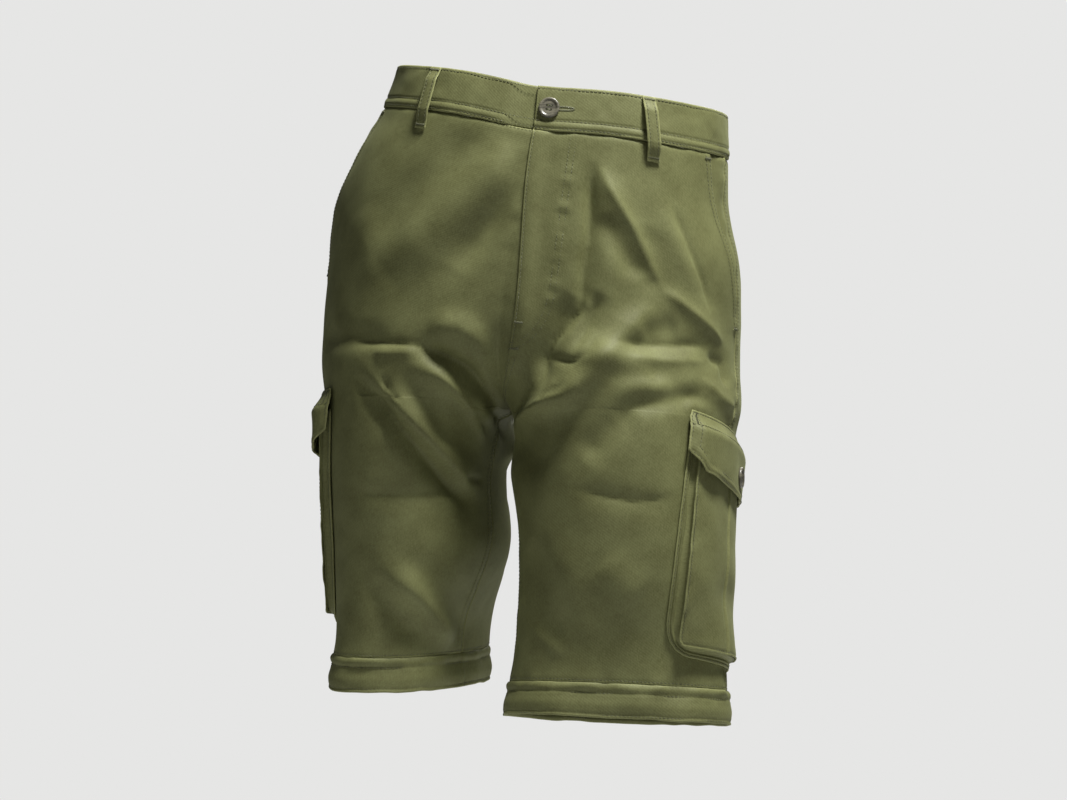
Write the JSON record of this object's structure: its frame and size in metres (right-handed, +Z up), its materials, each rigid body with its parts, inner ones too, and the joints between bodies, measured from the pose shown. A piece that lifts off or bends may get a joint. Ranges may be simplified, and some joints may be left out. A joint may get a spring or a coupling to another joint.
{
  "type": "convertible trousers, lower legs zipped off",
  "caption": "Olive cotton convertible cargo trousers shown as shorts, the lower legs zipped off, in worn form with buttoned waistband and bellows pockets.",
  "frame": {"origin": "middle of the waistband ring, halfway up the band, where the wearer's waist holds the garment", "axes": "+Z up, -Y the wearer's front, +X the wearer's left; the garment leans 9 degrees towards its right hip"},
  "size_m": [0.3934, 0.2606, 0.5782],
  "materials": {
    "olive_twill": "matte",
    "horn_button": "satin",
    "zip_tape": "matte"
  },
  "bodies": {
    "root": {"waistband": "olive_twill", "waist_button": "horn_button", "loop_front_left": "olive_twill", "loop_front_right": "olive_twill", "loop_back_left": "olive_twill", "loop_back_right": "olive_twill", "loop_back_centre": "olive_twill", "front_left": "olive_twill", "back_left": "olive_twill", "pocket_side_left": "olive_twill", "cargo_gusset_left": "olive_twill", "cargo_face_left": "olive_twill", "cargo_flap_left": "olive_twill", "cargo_button_left": "horn_button", "zip_band_left": "olive_twill", "zip_tape_left": "zip_tape", "front_right": "olive_twill", "back_right": "olive_twill", "pocket_side_right": "olive_twill", "cargo_gusset_right": "olive_twill", "cargo_face_right": "olive_twill", "cargo_flap_right": "olive_twill", "cargo_button_right": "horn_button", "zip_band_right": "olive_twill", "zip_tape_right": "zip_tape"}
  },
  "joints": []
}
